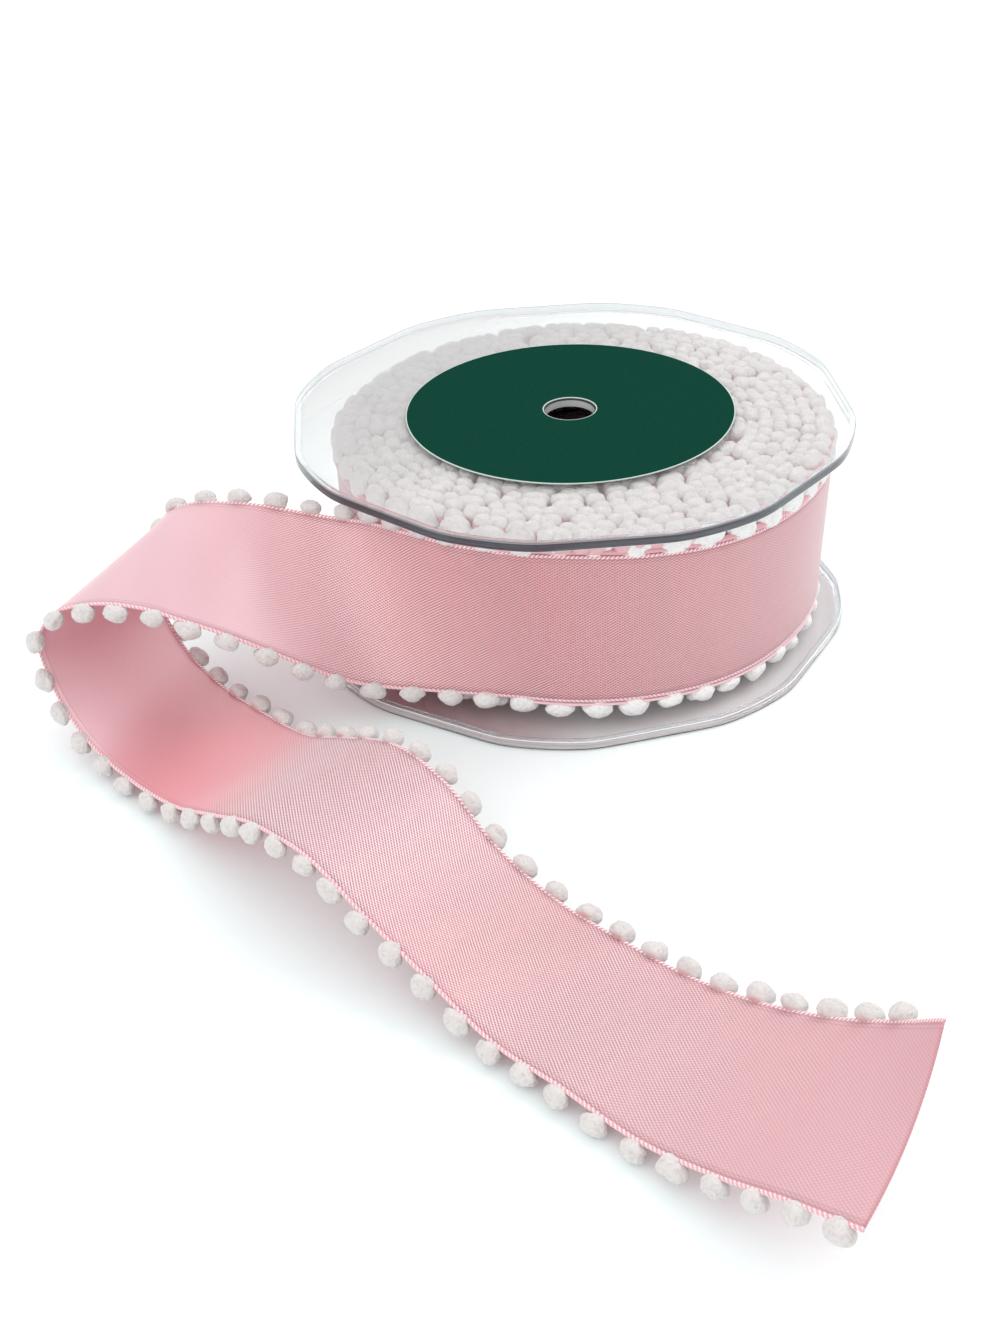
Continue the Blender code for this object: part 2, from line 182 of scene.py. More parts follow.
# Roped edges, and the thin cord just outside them that carries the pompoms
ROPE_HALF_WIDTH = 0.48 * MM
ROPE_HALF_THICKNESS = 0.38 * MM
ROPE_TWIST = 2.0 * MM                 # one whole twist of its two strands
ROPE_SIDES = 8
ROPE_STEP = 0.25 * MM
STRAND_DEPTH = 0.22
LOW_CORD = (0.42 * MM, 0.55 * MM, 0.6)    # radius, how far out, paleness
TOP_CORD = (0.75 * MM, 0.8 * MM, 0.3)
CORD_STEP = 1.1 * MM
CORD_SIDES = 6

# Pompoms. A size is half a ball's length along the edge, out from it, and square to the cloth. The rim is
# the outer turn's edge on the roll, and the field is the inner turns' pompoms.
LOW_COUNT, TOP_COUNT = 40, 39         # on the loose end
LOOSE_BALL = np.array([2.9, 2.1, 2.2]) * MM
LOW_LOOSE_OUT, TOP_LOOSE_OUT = 0.5 * MM, 1.3 * MM      # from the ribbon's edge to a ball's middle
TOP_RIM_BALL = np.array([4.3, 3.5, 2.6]) * MM
TOP_RIM_OUT = 2.2 * MM
TOP_RIM_TUCK = 1.4 * MM               # how far its middle lies in from the cloth
LOW_RIM_BALL = np.array([3.6, 2.7, 2.5]) * MM
LOW_RIM_OUT = 2.0 * MM
LOW_RIM_TUCK = 1.6 * MM
FIELD_BALL = np.array([2.7, 3.2, 2.35]) * MM
TOP_FIELD_OUT, LOW_FIELD_OUT = 3.8 * MM, 0.4 * MM
FIELD_PITCH = 0.47                    # of the pompoms' pitch, as pressed pompoms part into tufts
FIELD_CLEAR = 0.5                     # how far the field stays from either end of the inner turns
LOW_FIELD_CLEAR = 30                  # the same at the low edge's outer end, where the field is hidden
FIELD_WANDER = 0.7 * MM               # how far a ball of the field strays
TOP_SHIFT = -0.2                      # of the top edge's pompoms against the low edge's, in pitches
RIM_FADES = 4.0                       # places along over which the roll's balls become the loose end's
LOW_SAG = 1.7 * MM                    # how far a loose ball of the low edge hangs
# A ball's pink root is painted shade and pink bounce light from the ribbon.
LOOSE_ROOT_SHADE, FIELD_ROOT_SHADE = -1.0, 0.15   # how far out from a ball's middle its pink root shows, of its radius
SIZE_VARIES = 0.04                    # of a ball's size
OUT_VARIES, ALONG_VARIES = 0.12 * MM, 0.2 * MM
LOWEST_MIDDLE = 0.97                  # of its size, how low over the table a ball's middle may lie
BALL_POINTS = 640
FIELD_BALL_POINTS = 88
BALL_KINDS = 8

# A ball's surface: how far its points, lumps and tufts are drawn in and out, of its radius, and how pale
# they make it, as painted shade where they sink in
FINE_ROUGH, FIELD_ROUGH = 0.018, 0.05
POINTS_STRAY = 0.5                    # of the gap between points, how far they stray over the ball
LUMPS, LUMP_HEIGHT, LUMP_SHARPNESS = 22, 0.085, 9.0
TUFT_POINTS, TUFT_HEIGHT, TUFT_REACH = 5, 0.05, 4.5
SHADE_MIDDLE, SHADE_OF_TUFT, SHADE_OF_ROUGH = 0.55, 0.4, 0.14

# Where a ball meets the web or the table
WEB_GAP = 0.05 * MM
SQUASH_EASE = 0.2 * MM                # how softly it flattens there

# Weave, seen on both faces: a lattice of dots in three directions from the ribbon's length
WEAVE = (
    # degrees, spacing, share
    (-32, 0.60 * MM, 1.0),
    (32, 0.60 * MM, 0.6),
    (90, 0.56 * MM, 0.2),
)

# Painted light and shade along the ribbon: the tables below paint the satin's sheen, the weave's glints and
# the shade inside the loop into its colour.
# How the cloth's look changes along the ribbon: rows of a place along it and a factor, fitted to
# the photo's gloss
PAINTED_WEAVE_GLINT = np.array([
    # how strongly the weave shows: its painted glints, weaker where the cloth is blurred
    (-25.0, 0.45), (-10.0, 0.6), (-7.0, 1.0), (-4.0, 1.3), (1.0, 1.4), (3.0, 0.8), (5.0, 0.25),
    (9.0, 0.12), (16.0, 0.12), (18.5, 0.3), (19.5, 0.8), (20.5, 1.4), (23.0, 1.3), (27.0, 1.0),
    (31.0, 0.8), (34.0, 0.5), (36.5, 0.3), (RIBBON_END, 0.2),
])
PAINTED_SHEEN_AND_SHADE = np.array([
    # how pale: painted sheen where high, painted shade where low, as inside the loop
    (-25.0, 0.25), (-12.0, 0.07), (-6.5, 0.1), (-4.0, 0.0), (-2.5, 0.1), (-0.5, 0.22), (1.0, 0.25),
    (3.0, 0.38), (5.0, 0.54), (8.0, 0.63), (10.0, 0.7), (11.0, 0.76), (12.5, 0.8), (13.5, 0.68),
    (14.4, 0.32), (15.3, 0.12), (17.0, 0.07), (18.3, 0.12), (19.2, 0.25), (20.3, 0.45), (21.5, 0.55),
    (24.0, 0.5), (28.0, 0.43), (33.0, 0.5), (36.0, 0.57), (RIBBON_END, 0.57),
])
PAINTED_LIGHT_AND_SHADE = np.array([
    # how bright: painted light and shade
    (-25.0, 0.92), (-12.0, 0.79), (-8.0, 0.93), (-5.0, 0.92), (-3.0, 0.95), (-1.5, 1.06), (1.0, 1.1),
    (3.0, 1.0), (6.0, 0.95), (9.0, 0.98), (11.0, 1.1), (13.4, 1.2), (14.6, 0.97), (17.0, 1.03),
    (20.0, 0.96), (28.0, 0.95), (33.0, 0.85), (RIBBON_END, 0.83),
])
SLANT = np.array([
    # how many places ahead the values above are taken at the top edge
    (-6.0, 0.0), (-3.0, -0.8), (3.0, -1.4), (8.0, 0.0), (12.0, 0.8), (20.0, 0.8), (26.0, 0.0),
    (RIBBON_END, 0.0),
])
CUT_LINE = 0.9 * MM                   # width of the deeper pink line along the cut end
SELVEDGE_LINES = (17.55 * MM, 18.35 * MM)    # from the ribbon's middle
SELVEDGE_LINE_WIDTH = 0.22 * MM

# Light
SKY_STRENGTH = 0.68
OVERHEAD_WAY = (0.0, -0.3, 0.95)      # for the tail to catch
OVERHEAD_STRENGTH = 0.8
OVERHEAD_SHARPNESS = 3.0
FRONT_WAY = (-0.70, -0.68, 0.20)      # for the roll's front
FRONT_STRENGTH = 1.5
FRONT_SHARPNESS = 3.0
GLOW_WAY = (0.15, 0.84, 0.55)         # behind the reel, low enough for the flat run of cloth to catch it
GLOW_STRENGTH = 1.3
GLOW_SHARPNESS = 4.0
SOFTBOX_PLACE = (0.72, 0.30, 0.75)
SOFTBOX_SIZE = 0.7
SOFTBOX_POWER = 3.8

# Floor
FLOOR_SIZE = 8.0
FLOOR_DROP = 0.1 * MM                 # below the part, so that their faces don't share a plane

WHITE = (1.0, 1.0, 1.0)


def smooth_through(places, table, at):
    """Values at each place in at of a smooth curve through the table's rows."""
    slopes = np.gradient(table, places, axis=0)
    k = np.clip(np.searchsorted(places, at, side="right") - 1, 0, len(places) - 2)
    span = (places[k + 1] - places[k])[:, None]
    u = (at - places[k])[:, None] / span
    from_start = (2 * u**3 - 3 * u**2 + 1) * table[k] + (u**3 - 2 * u**2 + u) * span * slopes[k]
    from_end = (3 * u**2 - 2 * u**3) * table[k + 1] + (u**3 - u**2) * span * slopes[k + 1]
    return from_start + from_end


def value_along(table, at):
    """Values at places along the ribbon, from a table of places and values."""
    return smooth_through(table[:, 0], table[:, 1:], np.clip(at, table[0, 0], table[-1, 0]))[:, 0]


def unit(vectors):
    """Vectors of length 1 in the same directions."""
    return vectors / np.linalg.norm(vectors, axis=-1, keepdims=True)


def wound_radius(turned):
    """How far the ribbon lies from the roll's centre, by the angle that it is followed back."""
    degrees = np.degrees(turned)
    outer = smooth_through(OUTER_TURN[:, 0], OUTER_TURN[:, 1:2] * MM, np.minimum(degrees, 360))[:, 0]
    first_inner = OUTER_TURN[-1, 1] * MM
    inner = first_inner + (INNERMOST_RADIUS - first_inner) * (degrees / 360 - 1) / INNER_TURNS
    return np.where(degrees <= 360, outer, inner)


TURNED = np.linspace(0, math.tau * (1 + INNER_TURNS), WOUND_STEPS)
WOUND_LENGTH = np.concatenate([[0.0], np.cumsum(np.hypot(
    np.diff(wound_radius(TURNED)),
    np.diff(TURNED) * (wound_radius(TURNED)[1:] + wound_radius(TURNED)[:-1]) / 2))])
OUTER_START = LEAVES - np.interp(math.tau, TURNED, WOUND_LENGTH) / PITCH
INNER_START = LEAVES - WOUND_LENGTH[-1] / PITCH


def sections_at(at):
    """The ribbon's middle line, the way across it, and its bow, at each place along it."""
    rows = smooth_through(SECTIONS[:, 0], SECTIONS[:, 1:], np.maximum(at, LEAVES))
    middle = rows[:, :3] * MM
    heading, rise = np.radians(rows[:, 3]), np.radians(rows[:, 4])
    across = np.stack([np.cos(rise) * np.cos(heading), np.cos(rise) * np.sin(heading), np.sin(rise)], axis=1)
    back = np.maximum(LEAVES - at, 0) * PITCH
    turned = np.interp(back, WOUND_LENGTH, TURNED)
    angle = LEAVING_ANGLE + turned
    outward = np.stack([np.cos(angle), np.sin(angle), np.zeros_like(angle)], axis=1)
    radius = wound_radius(turned)[:, None]
    wound_middle = outward * radius + np.array([*ROLL_CENTRE, ROLL_MIDDLE_Z])
    followed = np.minimum(np.degrees(turned), OUTER_TURN[-1, 0])
    lean, slip = smooth_through(OUTER_TURN[:, 0], OUTER_TURN[:, 2:], followed).T[:, :, None]
    lean = np.radians(lean)
    wound_middle[:, 2:] += slip * MM
    wound_across = np.cos(lean) * np.array([0, 0, 1.0]) - np.sin(lean) * outward
    wound = (at < LEAVES)[:, None]
    return (np.where(wound, wound_middle, middle), np.where(wound, wound_across, across),
            np.where(wound[:, 0], 0.0, rows[:, 5] * MM))


def crease_height(at, across):
    """How far the creases lift the cloth towards its outer face."""
    place = np.stack([at * PITCH, across * RIBBON_WIDTH / 2], axis=1)
    height = np.zeros(len(at))
    for from_along, from_across, to_along, to_across, half_width, lift in CREASES:
        start = np.array([from_along * PITCH, from_across * RIBBON_WIDTH / 2])
        run = np.array([to_along * PITCH, to_across * RIBBON_WIDTH / 2]) - start
        share = (place - start) @ run / (run @ run)
        off = ((place - start) @ np.array([-run[1], run[0]])) / np.linalg.norm(run)
        past_end = np.maximum(np.abs(share - 0.5) - CREASE_FULL, 0) / CREASE_FADE
        height += lift * np.exp(-(off / half_width)**2 - past_end**2)
    return height


def cloth_points(at, across):
    """Points on the ribbon's middle surface, for arrays of places along and across it."""
    middle, way, bow = sections_at(at)
    ahead = sections_at(at + NEARBY)[0] - sections_at(at - NEARBY)[0]
    outer_face = unit(np.cross(way, ahead))
    lift = bow * (1 - across**2) + crease_height(at, across)
    return middle + (across * RIBBON_WIDTH / 2)[:, None] * way + lift[:, None] * outer_face


def edge_frames(at, side):
    """Points along an edge, with the ways out of the cloth, along the edge and square to the cloth."""
    sides = np.full_like(at, side)
    points = cloth_points(at, sides)
    along = unit(cloth_points(at + NEARBY, sides) - cloth_points(at - NEARBY, sides))
    out = points - cloth_points(at, sides * (1 - NEARBY))
    out = unit(out - (out * along).sum(axis=1, keepdims=True) * along)
    return points, out, along, np.cross(out, along)


def add_piece(name, verts, faces, materials, smooth=True, sharp_angle=None):
    """A mesh piece in the row's frame that rides with the reel. verts are measured from the reel's axis."""
    mesh = bpy.data.meshes.new(name)
    mesh.from_pydata((verts + AXIS).tolist(), [], faces if isinstance(faces, list) else faces.tolist())
    for material in materials:
        mesh.materials.append(material)
    if smooth:
        mesh.shade_smooth()
    if sharp_angle is not None:
        mesh.set_sharp_from_angle(angle=sharp_angle)
    made = bpy.data.objects.new(name, mesh)
    bpy.context.scene.collection.objects.link(made)
    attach(made, BODY)
    return made


def grid_faces(rows, columns, closed=False):
    """Faces of a grid of rows times columns points, whose columns may close into rings."""
    last = columns if closed else columns - 1
    r, c = np.meshgrid(np.arange(rows - 1), np.arange(last), indexing="ij")
    ahead = (c + 1) % columns
    corners = [r * columns + c, r * columns + ahead, (r + 1) * columns + ahead, (r + 1) * columns + c]
    return np.stack(corners, axis=-1).reshape(-1, 4)


def give_attribute(piece, name, values):
    """Stores a vector for each point of a piece's mesh."""
    layer = piece.data.attributes.new(name, "FLOAT_VECTOR", "POINT")
    layer.data.foreach_set("vector", np.asarray(values, np.float32).ravel())


# Materials

def new_material(name, colour, roughness, **sockets):
    """A Principled material, its node tree and its shader."""
    made = bpy.data.materials.new(name)
    made.use_nodes = True
    shader = made.node_tree.nodes["Principled BSDF"]
    shader.inputs["Base Color"].default_value = (*colour, 1.0)
    shader.inputs["Roughness"].default_value = roughness
    for socket, value in sockets.items():
        shader.inputs[socket.replace("_", " ")].default_value = value
    return made, made.node_tree, shader


def math_node(tree, operation, *inputs):
    """A Math node's output, for numbers or other nodes' outputs."""
    node = tree.nodes.new("ShaderNodeMath")
    node.operation = operation
    for socket, value in zip(node.inputs, inputs):
        if isinstance(value, (int, float)):
            socket.default_value = value
        else:
            tree.links.new(value, socket)
    return node.outputs[0]


def vector_node(tree, operation, vector, other):
    """A Vector Math node's output, for another node's vector and a fixed one."""
    node = tree.nodes.new("ShaderNodeVectorMath")
    node.operation = operation
    node.inputs[1].default_value = other
    tree.links.new(vector, node.inputs[0])
    return node.outputs["Value" if operation == "DOT_PRODUCT" else "Vector"]


def attribute_node(tree, name):
    """The vector that a piece's points carry under a name."""
    node = tree.nodes.new("ShaderNodeAttribute")
    node.attribute_name = name
    return node.outputs["Vector"]


def parts_of(tree, vector):
    """A vector's X, Y and Z."""
    node = tree.nodes.new("ShaderNodeSeparateXYZ")
    tree.links.new(vector, node.inputs[0])
    return tuple(node.outputs)


def object_place(tree):
    """Where a point lies in its piece's own frame."""
    return tree.nodes.new("ShaderNodeTexCoord").outputs["Object"]


def ripple(tree, place, angle, spacing):
    """A sine wave over the cloth, whose lines run at an angle to the ribbon's length."""
    turn = math.tau / spacing
    way = (-math.sin(angle) * turn, math.cos(angle) * turn, 0)
    return math_node(tree, "SINE", vector_node(tree, "DOT_PRODUCT", place, way))


def noise(tree, place, scale, detail):
    """Soft noise from 0 to 1."""
    node = tree.nodes.new("ShaderNodeTexNoise")
    node.inputs["Scale"].default_value = scale
    node.inputs["Detail"].default_value = detail
    node.inputs["Roughness"].default_value = 0.5
    tree.links.new(place, node.inputs["Vector"])
    return node.outputs["Fac"]


def stretched_noise(tree, place, scales, detail):
    """Soft noise with a scale of its own each way."""
    return noise(tree, vector_node(tree, "MULTIPLY", place, scales), 1.0, detail)


def ramp(tree, value, stops):
    """Colours for a value from 0 to 1."""
    node = tree.nodes.new("ShaderNodeValToRGB")
    elements = node.color_ramp.elements
    while len(elements) < len(stops):
        elements.new(0.5)
    for element, (position, colour) in zip(elements, stops):
        element.position = position
        element.color = (*colour, 1.0)
    tree.links.new(value, node.inputs["Fac"])
    return node.outputs["Color"]


def add_bump(tree, shader, height, strength, distance):
    """Lets a value from 0 to 1 raise the surface."""
    node = tree.nodes.new("ShaderNodeBump")
    node.inputs["Strength"].default_value = strength
    node.inputs["Distance"].default_value = distance
    tree.links.new(height, node.inputs["Height"])
    tree.links.new(node.outputs["Normal"], shader.inputs["Normal"])


def mapped(tree, value, low, high, to_low, to_high):
    """A value moved from one range to another, and held inside it."""
    node = tree.nodes.new("ShaderNodeMapRange")
    for socket, number in zip(("From Min", "From Max", "To Min", "To Max"), (low, high, to_low, to_high)):
        node.inputs[socket].default_value = number
    tree.links.new(value, node.inputs["Value"])
    return node.outputs["Result"]


def pulse(tree, value, centre, width):
    """1 where a value is at a centre, falling to 0 at some width from it."""
    off = math_node(tree, "ABSOLUTE", math_node(tree, "SUBTRACT", value, centre))
    return mapped(tree, off, 0.0, width, 1.0, 0.0)


def tinted(tree, colour, tint):
    """A colour times a tint."""
    node = tree.nodes.new("ShaderNodeMix")
    node.data_type = "RGBA"
    node.blend_type = "MULTIPLY"
    amount, first, second, result = node.inputs[0], node.inputs[6], node.inputs[7], node.outputs[2]
    amount.default_value = 1.0
    tree.links.new(colour, first)
    tree.links.new(tint, second)
    return result


def see_through(tree, colour):
    """A shader that lets light straight through."""
    node = tree.nodes.new("ShaderNodeBsdfTransparent")
    node.inputs["Color"].default_value = (*colour, 1.0)
    return node


def blend_with(tree, shader, other, amount):
    """Sends a shader to the output mixed with some of another. Returns the socket for how much."""
    mix = tree.nodes.new("ShaderNodeMixShader")
    mix.inputs[0].default_value = amount
    tree.links.new(shader.outputs[0], mix.inputs[1])
    tree.links.new(other.outputs[0], mix.inputs[2])
    tree.links.new(mix.outputs[0], tree.nodes["Material Output"].inputs["Surface"])
    return mix.inputs[0]


def pink_satin():
    """Fine satin: a lattice of pale floats in the cloth's own coordinates, and two lines beside each edge,
    with sheen, glints, light and shade painted in along the ribbon.
    """
    made, tree, shader = new_material("pink_satin", (0.80, 0.39, 0.42), 0.40, IOR=1.8, Specular_IOR_Level=1.0,
                                      Sheen_Weight=0.9, Sheen_Roughness=0.45)
    shader.inputs["Sheen Tint"].default_value = (1.0, 0.93, 0.94, 1.0)
    place = attribute_node(tree, "cloth")
    along, across, weave_glint = parts_of(tree, place)
    # Painted sheen, light and shade, carried on the cloth's points
    pale, painted_light, _ = parts_of(tree, attribute_node(tree, "tone"))
    weave = None
    for k, (angle, spacing, share) in enumerate(WEAVE):
        moved = vector_node(tree, "ADD", place, (0.31 * k, 0.17 * k, 0.0))
        strength = mapped(tree, noise(tree, moved, 40.0, 1.0), 0.35, 0.65, 0.6 * share, share)
        lines = math_node(tree, "MULTIPLY", ripple(tree, place, math.radians(angle), spacing), strength)
        weave = lines if weave is None else math_node(tree, "ADD", weave, lines)
    yarn = mapped(tree, stretched_noise(tree, place, (1500.0, 500.0, 1.0), 3.0), 0.3, 0.7, -0.1, 0.1)
    # The weave's strength follows its painted glints along the ribbon.
    woven = math_node(tree, "MULTIPLY", math_node(tree, "ADD", weave, yarn), weave_glint)
    fac = mapped(tree, woven, -1.0, 1.0, 0.0, 1.0)
    colour = ramp(tree, fac, [(0.08, (0.34, 0.08, 0.10)), (0.32, (0.72, 0.32, 0.37)),
                              (0.55, (0.86, 0.53, 0.58)), (0.88, (1.0, 0.96, 0.98))])
    from_middle = math_node(tree, "ABSOLUTE", across)
    lines = (pulse(tree, from_middle, at, SELVEDGE_LINE_WIDTH) for at in SELVEDGE_LINES)
    colour = tinted(tree, colour, ramp(tree, math_node(tree, "ADD", *lines), [
        (0.2, WHITE), (0.9, (0.82, 0.66, 0.69))]))
    # Painted sheen where the cloth is pale, and painted shade where it is deep pink, as inside the loop.
    colour = tinted(tree, colour, ramp(tree, pale, [
        (0.0, (1.0, 0.62, 0.64)), (0.6, (0.95, 1.0, 1.0)), (1.0, (0.95, 1.4, 1.36))]))
    # Painted light and shade along the ribbon.
    colour = tinted(tree, colour, painted_light)
    cut = pulse(tree, along, float(RIBBON_END) * PITCH, CUT_LINE)
    colour = tinted(tree, colour, ramp(tree, cut, [(0.0, WHITE), (0.8, (0.88, 0.60, 0.64))]))
    drift = stretched_noise(tree, place, (22.0, 9.0, 1.0), 1.0)
    colour = tinted(tree, colour, ramp(tree, drift, [
        (0.3, (1.01, 0.985, 0.975)), (0.7, (0.99, 1.015, 1.035))]))
    tree.links.new(colour, shader.inputs["Base Color"])
    add_bump(tree, shader, fac, 0.6, 0.12 * MM)
    through = tree.nodes.new("ShaderNodeBsdfTranslucent")
    through.inputs["Color"].default_value = (0.95, 0.43, 0.48, 1.0)
    blend_with(tree, shader, through, 0.26)
    return made


def rope_satin():
    """The edge's rope: the strands' crests pale as a painted highlight, the grooves between them deep pink as
    painted shade.
    """
    made, tree, shader = new_material("pink_rope", (0.62, 0.33, 0.37), 0.45, Sheen_Weight=0.6,
                                      Sheen_Roughness=0.5)
    strand = attribute_node(tree, "strand")
    crest_highlight = parts_of(tree, strand)[0]
    # Painted highlight on the crests, painted shade in the grooves.
    colour = ramp(tree, crest_highlight, [
        (0.0, (0.58, 0.17, 0.21)), (0.5, (0.78, 0.45, 0.49)), (0.95, (0.96, 0.83, 0.845))])
    tree.links.new(colour, shader.inputs["Base Color"])
    fibres = stretched_noise(tree, strand, (0.0, 9000.0, 1.0), 2.0)
    add_bump(tree, shader, fibres, 0.3, 0.08 * MM)
    return made


def white_yarn():
    """Cut yarn: pale tips, with painted shade where the tufts part, greyer painted shade on the loose end,
    and pink roots of painted shade and pink bounce light.
    """
    made, tree, shader = new_material("white_yarn", (0.74, 0.72, 0.715), 0.95, Specular_IOR_Level=0.1,
                                      Sheen_Weight=0.2, Sheen_Roughness=0.6)
    tuft_shade, from_root, loose = parts_of(tree, attribute_node(tree, "tuft"))
    specks = mapped(tree, noise(tree, object_place(tree), 1200.0, 3.0), 0.3, 0.7, -0.2, 0.2)
    # Painted shade where the tufts part, pale where they stand out.
    level = math_node(tree, "ADD", tuft_shade, specks)
    colour = ramp(tree, level, [
        (0.0, (0.72, 0.69, 0.685)), (0.4, (0.83, 0.81, 0.805)), (1.0, (0.88, 0.865, 0.86))])
    # Pink roots: painted shade and pink bounce light near the ribbon.
    root = mapped(tree, from_root, 0.0, 0.3, 0.0, 1.0)
    colour = tinted(tree, colour, ramp(tree, root, [
        (0.0, (0.92, 0.56, 0.58)), (0.5, (0.98, 0.88, 0.885)), (1.0, WHITE)]))
    # Painted shade: the loose end's balls greyer, as they lie in the shade under the ribbon's edge.
    colour = tinted(tree, colour, ramp(tree, loose, [(0.0, WHITE), (1.0, (0.78, 0.755, 0.745))]))
    tree.links.new(colour, shader.inputs["Base Color"])
    add_bump(tree, shader, specks, 0.8, 0.6 * MM)
    return made


def clear_plastic(name, clear, haze, painted_shade, way, reaches, shine):
    """Thin clear plastic, which passes most light through each face, its haze thickening toward one side as
    painted shade.
    """
    made, tree, shader = new_material(name, haze, 0.07, IOR=1.5, Specular_IOR_Level=shine)
    toward = vector_node(tree, "DOT_PRODUCT", object_place(tree), way)
    start, end = (float(way @ AXIS) + reach for reach in reaches)
    amount = blend_with(tree, shader, see_through(tree, clear), THIN_CLEAR)
    tree.links.new(mapped(tree, toward, start, end, THIN_CLEAR, THIN_CLEAR - painted_shade), amount)
    return made


def clear_block():
    """The same plastic where it is thick, which bends light."""
    made, tree, shader = new_material("clear_block", (0.84, 0.85, 0.87), 0.04, IOR=1.5,
                                      Transmission_Weight=1.0)
    blend_with(tree, shader, see_through(tree, (0.88, 0.885, 0.895)), 0.5)
    return made


def rim_face(name, dark, light, clear, through_colour):
    """A face of the rim, grey where it is seen from outside, streaked in fine lines round it. The colours
    given to it paint the rim's shade, its highlight lines and its pink reflection.
    """
    made, tree, shader = new_material(name, light, 0.12, IOR=1.5)
    streaks = stretched_noise(tree, object_place(tree), (26.0, 26.0, 3200.0), 2.0)
    tree.links.new(ramp(tree, streaks, [(0.3, dark), (0.7, light)]), shader.inputs["Base Color"])
    amount = blend_with(tree, shader, see_through(tree, through_colour), clear)
    inside = tree.nodes.new("ShaderNodeNewGeometry").outputs["Backfacing"]
    tree.links.new(mapped(tree, inside, 0.0, 1.0, clear, THIN_CLEAR), amount)
    return made


def label_card():
    """Deep green printed card with a faint paper grain."""
    made, tree, shader = new_material("label_card", (0.005, 0.042, 0.028), 0.36, Specular_IOR_Level=0.0)
    grain = noise(tree, object_place(tree), 2500.0, 3.0)
    colour = ramp(tree, grain, [(0.3, (0.0045, 0.039, 0.026)), (0.7, (0.0065, 0.049, 0.033))])
    tree.links.new(colour, shader.inputs["Base Color"])
    add_bump(tree, shader, grain, 0.12, 0.05 * MM)
    return made


# Shapes

def add_cloth(name, start, end, step, columns, material):
    """The ribbon from one place along it to another, as a thin sheet."""
    rows = round((end - start) * PITCH / step) + 1
    at = np.repeat(np.linspace(start, end, rows), columns)
    across = np.tile(np.linspace(-1, 1, columns), rows)
    inner_half = 1 - ROPE_HALF_WIDTH / (RIBBON_WIDTH / 2)
    made = add_piece(name, cloth_points(at, across * inner_half), grid_faces(rows, columns), [material])
    slant = value_along(SLANT, at)
    # The painted glints, sheen, light and shade at each point of the cloth
    weave_glint, pale, painted_light = (value_along(table, at + slant * across) for table in (PAINTED_WEAVE_GLINT, PAINTED_SHEEN_AND_SHADE, PAINTED_LIGHT_AND_SHADE))
    give_attribute(made, "cloth", np.stack([at * PITCH, across * RIBBON_WIDTH / 2, weave_glint], axis=1))
    give_attribute(made, "tone", np.stack([pale, painted_light, np.zeros(len(at))], axis=1))
    cloth = made.modifiers.new("cloth", "SOLIDIFY")
    cloth.thickness = CLOTH_THICKNESS
    cloth.offset = 0.0
    return made


def edge_tube(side, start, end, step, from_edge, radii, sides, twist=None, depth=0.0):
    """Points, faces and strand values of a tube that follows an edge, twisted of two strands or plain."""
    rows = round((end - start) * PITCH / step) + 1
    at = np.linspace(start, end, rows)
    points, out, along, normal = edge_frames(at, side)
    centre = points + out * from_edge
    angle = np.linspace(0, math.tau, sides, endpoint=False)[None, :]
    turned = (at * PITCH / twist * math.tau)[:, None] if twist else np.zeros((rows, 1))
    lobe = np.cos(2 * (angle - side * turned)) if twist else np.full((rows, sides), -1.0)
    reach = 1 + depth * (lobe - 1) / 2
    verts = (centre[:, None] + (reach * np.cos(angle) * radii[0])[..., None] * out[:, None]
             + (reach * np.sin(angle) * radii[1])[..., None] * normal[:, None])
    caps = [list(range(sides))[::-1], list(range((rows - 1) * sides, rows * sides))]
    faces = grid_faces(rows, sides, closed=True).tolist() + caps
    # How far a point lies on a strand's crest, for the rope's painted highlight
    crest_highlight = ((lobe + 1) / 2).ravel()
    strand = np.stack([crest_highlight, np.repeat(at * PITCH, sides), np.zeros(rows * sides)], axis=1)
    return verts.reshape(-1, 3), faces, strand


def add_rope(name, side, start, end, material):
    """The twisted rope along one edge of the ribbon, and the roll's cord beside it."""
    rope, rope_faces, rope_strand = edge_tube(
        side, start, end, ROPE_STEP, -ROPE_HALF_WIDTH, (ROPE_HALF_WIDTH, ROPE_HALF_THICKNESS), ROPE_SIDES,
        ROPE_TWIST, STRAND_DEPTH)
    cord_radius, cord_out, cord_pale = TOP_CORD if side > 0 else LOW_CORD
    cord, cord_faces, cord_strand = edge_tube(
        side, start, LEAVES, CORD_STEP, cord_out, (cord_radius, cord_radius), CORD_SIDES)
    cord_strand[:, 0] = cord_pale
    moved = [[index + len(rope) for index in face] for face in cord_faces]
    made = add_piece(name, np.concatenate([rope, cord]), rope_faces + moved, [material])
    give_attribute(made, "strand", np.concatenate([rope_strand, cord_strand]))
    return made


